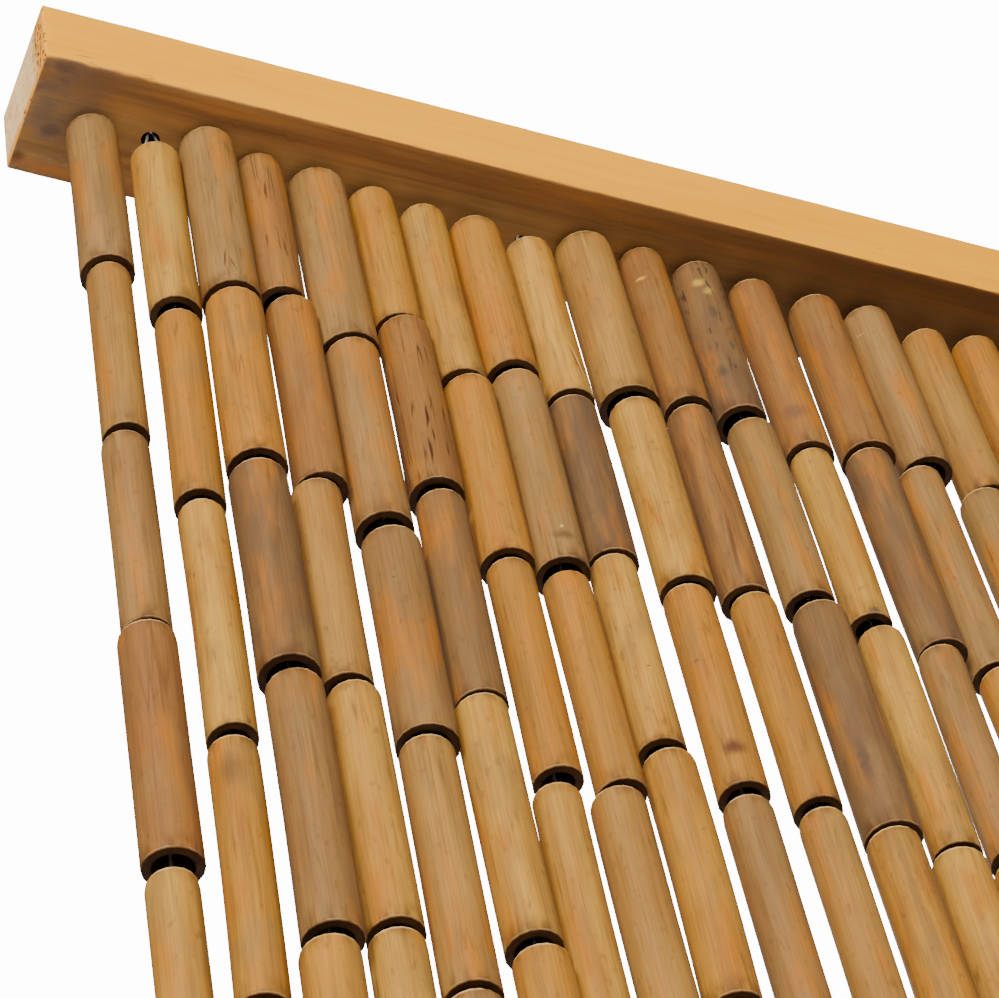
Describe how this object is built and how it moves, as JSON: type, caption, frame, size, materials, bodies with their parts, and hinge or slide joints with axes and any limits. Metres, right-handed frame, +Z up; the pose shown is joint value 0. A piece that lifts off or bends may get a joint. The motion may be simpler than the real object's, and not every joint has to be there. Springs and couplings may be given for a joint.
{
  "type": "bamboo door curtain with wooden top rail",
  "caption": "Door curtain of strung bamboo tubes that hang in close vertical strands under a flat wooden top rail, which is fastened over a doorway.",
  "frame": {"origin": "middle of the rail's back face, the flat face that is fastened to the wall above the door", "axes": "+Z up along the hanging strands, +Y from the curtain's front to its back, so the front faces -Y, and +X to the right as seen from the front"},
  "size_m": [0.56, 0.0345, 1.8496],
  "materials": {
    "rail_wood": "stained satin",
    "bamboo": "satin cane skin",
    "steel_wire": "bright wire"
  },
  "bodies": {
    "root": {"rail": "rail_wood", "strand_01": "bamboo", "strand_02": "bamboo", "strand_03": "bamboo", "strand_04": "bamboo", "strand_05": "bamboo", "strand_06": "bamboo", "strand_07": "bamboo", "strand_08": "bamboo", "strand_09": "bamboo", "strand_10": "bamboo", "strand_11": "bamboo", "strand_12": "bamboo", "strand_13": "bamboo", "strand_14": "bamboo", "strand_15": "bamboo", "strand_16": "bamboo", "strand_17": "bamboo", "strand_18": "bamboo", "strand_19": "bamboo", "strand_20": "bamboo", "strand_21": "bamboo", "strand_22": "bamboo", "strand_23": "bamboo", "strand_24": "bamboo", "strand_25": "bamboo", "strand_26": "bamboo", "strand_27": "bamboo", "strand_28": "bamboo", "strand_29": "bamboo", "strand_30": "bamboo", "strand_31": "bamboo", "strand_32": "bamboo", "strand_33": "bamboo", "strand_34": "bamboo", "strand_35": "bamboo", "strand_36": "bamboo"}
  },
  "joints": []
}
